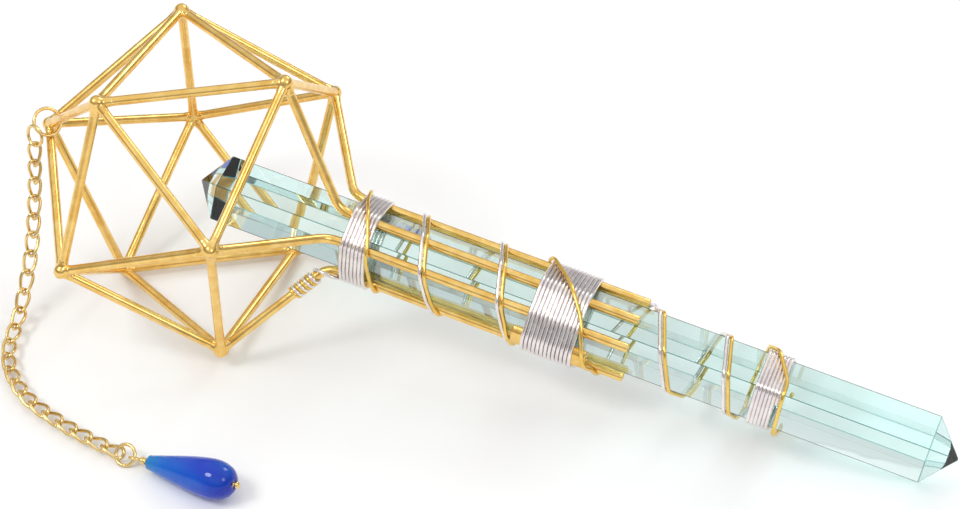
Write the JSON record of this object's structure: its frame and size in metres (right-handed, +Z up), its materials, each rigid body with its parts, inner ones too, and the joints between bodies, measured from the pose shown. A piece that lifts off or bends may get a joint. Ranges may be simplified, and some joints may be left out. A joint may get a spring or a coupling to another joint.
{
  "type": "magic wand",
  "caption": "Hand wand: a long six-sided glass crystal held by five gold rods that open into an icosahedral cage, with wire wraps, a fine chain and a blue drop pendant.",
  "frame": {"origin": "centre of the footprint at the height of the table on which the wand rests", "axes": "+X towards the crystal's bare end, +Z up"},
  "size_m": [0.2484, 0.113, 0.0768],
  "materials": {
    "gold_rod": "satin polished warm gold",
    "gold_braze": "smooth lumpy braze, satin polished",
    "gold_wire": "bright drawn wire",
    "pale_gold": "bright pale gold plate",
    "silver_wire": "bright drawn silver wire",
    "clear_crystal": "clear polished, faint aqua tint",
    "blue_glass": "glossy cobalt blue with soft paler bands"
  },
  "bodies": {
    "wand": {"apex_ring_joint_1": "gold_braze", "apex_ring_joint_2": "gold_braze", "apex_ring_joint_3": "gold_braze", "apex_ring_joint_4": "gold_braze", "apex_ring_joint_5": "gold_braze", "neck_ring_joint_1": "gold_braze", "neck_ring_joint_2": "gold_braze", "neck_ring_joint_3": "gold_braze", "neck_ring_joint_4": "gold_braze", "neck_ring_joint_5": "gold_braze", "apex_joint": "gold_braze", "apex_rod_1": "gold_rod", "apex_rod_2": "gold_rod", "apex_rod_3": "gold_rod", "apex_rod_4": "gold_rod", "apex_rod_5": "gold_rod", "apex_ring_rod_1": "gold_rod", "apex_ring_rod_2": "gold_rod", "apex_ring_rod_3": "gold_rod", "apex_ring_rod_4": "gold_rod", "apex_ring_rod_5": "gold_rod", "neck_ring_rod_1": "gold_rod", "neck_ring_rod_2": "gold_rod", "neck_ring_rod_3": "gold_rod", "neck_ring_rod_4": "gold_rod", "neck_ring_rod_5": "gold_rod", "side_rod_1": "gold_rod", "side_rod_2": "gold_rod", "side_rod_3": "gold_rod", "side_rod_4": "gold_rod", "side_rod_5": "gold_rod", "side_rod_6": "gold_rod", "side_rod_7": "gold_rod", "side_rod_8": "gold_rod", "side_rod_9": "gold_rod", "side_rod_10": "gold_rod", "handle_rod_1": "gold_rod", "handle_rod_2": "gold_rod", "handle_rod_3": "gold_rod", "handle_rod_4": "gold_rod", "handle_rod_5": "gold_rod", "crystal": "clear_crystal", "packing_bar": "gold_rod", "silver_wire": "silver_wire", "gold_wire": "gold_wire", "silver_anchor_coil": "silver_wire", "gold_anchor_coil": "gold_wire"},
    "head_ring": {"head_ring": "pale_gold"},
    "chain_ring_1": {"chain_ring_1": "pale_gold"},
    "chain_piece_1": {"chain_piece_1": "pale_gold"},
    "chain_piece_2": {"chain_piece_2": "pale_gold"},
    "chain_piece_3": {"chain_piece_3": "pale_gold"},
    "chain_piece_4": {"chain_piece_4": "pale_gold"},
    "chain_piece_5": {"chain_piece_5": "pale_gold"},
    "chain_piece_6": {"chain_piece_6": "pale_gold"},
    "chain_piece_7": {"chain_piece_7": "pale_gold"},
    "chain_piece_8": {"chain_piece_8": "pale_gold"},
    "chain_ring_2": {"chain_ring_2": "pale_gold"},
    "pendant": {"pendant_wire": "pale_gold"},
    "bead": {"drop_bead": "blue_glass"}
  },
  "joints": [
    {"name": "head_ring_swing", "type": "hinge", "parent": "wand", "child": "head_ring", "pos_m": [-0.11863, 0.01413, 0.04761], "axis": [0.6263, -0.4499, 0.6367], "range_deg": [-8, 8]},
    {"name": "first_ring_swing", "type": "hinge", "parent": "head_ring", "child": "chain_ring_1", "pos_m": [-0.12082, 0.00997, 0.04682], "axis": [0.7247, 0.0349, -0.6882], "range_deg": [-8, 20]},
    {"name": "chain_bend_1", "type": "hinge", "parent": "chain_ring_1", "child": "chain_piece_1", "pos_m": [-0.1213, 0.00796, 0.04377], "axis": [-0.941, 0.331, -0.0704], "range_deg": [-30, 30]},
    {"name": "chain_bend_2", "type": "hinge", "parent": "chain_piece_1", "child": "chain_piece_2", "pos_m": [-0.12139, 0.00412, 0.02896], "axis": [-0.1082, -0.9475, 0.3009], "range_deg": [-30, 30]},
    {"name": "chain_bend_3", "type": "hinge", "parent": "chain_piece_2", "child": "chain_piece_3", "pos_m": [-0.12091, -0.00235, 0.01521], "axis": [0.9928, 0.1193, 0.0076], "range_deg": [-30, 30]},
    {"name": "chain_bend_4", "type": "hinge", "parent": "chain_piece_3", "child": "chain_piece_4", "pos_m": [-0.11936, -0.01337, 0.00494], "axis": [0.2064, -0.368, 0.9066], "range_deg": [-30, 30]},
    {"name": "chain_bend_5", "type": "hinge", "parent": "chain_piece_4", "child": "chain_piece_5", "pos_m": [-0.11525, -0.02753, 0.00223], "axis": [-0.81, -0.5138, 0.2828], "range_deg": [-30, 30]},
    {"name": "chain_bend_6", "type": "hinge", "parent": "chain_piece_5", "child": "chain_piece_6", "pos_m": [-0.10485, -0.03849, 0.00231], "axis": [-0.2132, -0.3649, -0.9063], "range_deg": [-30, 30]},
    {"name": "chain_bend_7", "type": "hinge", "parent": "chain_piece_6", "child": "chain_piece_7", "pos_m": [-0.0909, -0.04461, 0.00231], "axis": [0.2479, 0.7955, -0.553], "range_deg": [-30, 30]},
    {"name": "chain_bend_8", "type": "hinge", "parent": "chain_piece_7", "child": "chain_piece_8", "pos_m": [-0.07607, -0.04829, 0.00231], "axis": [-0.0928, -0.6645, -0.7415], "range_deg": [-30, 30]},
    {"name": "end_ring_swing", "type": "hinge", "parent": "chain_piece_8", "child": "chain_ring_2", "pos_m": [-0.07136, -0.04893, 0.00231], "axis": [-0.0791, -0.7027, 0.7071], "range_deg": [-40, 40]},
    {"name": "pendant_swing", "type": "hinge", "parent": "chain_ring_2", "child": "pendant", "pos_m": [-0.06723, -0.04938, 0.00227], "axis": [0.0791, 0.7027, 0.7071], "range_deg": [-40, 40]},
    {"name": "bead_spin", "type": "hinge", "parent": "pendant", "child": "bead", "pos_m": [-0.06694, -0.04941, 0.00231], "axis": [0.9869, -0.0899, 0.1342], "continuous": true}
  ]
}
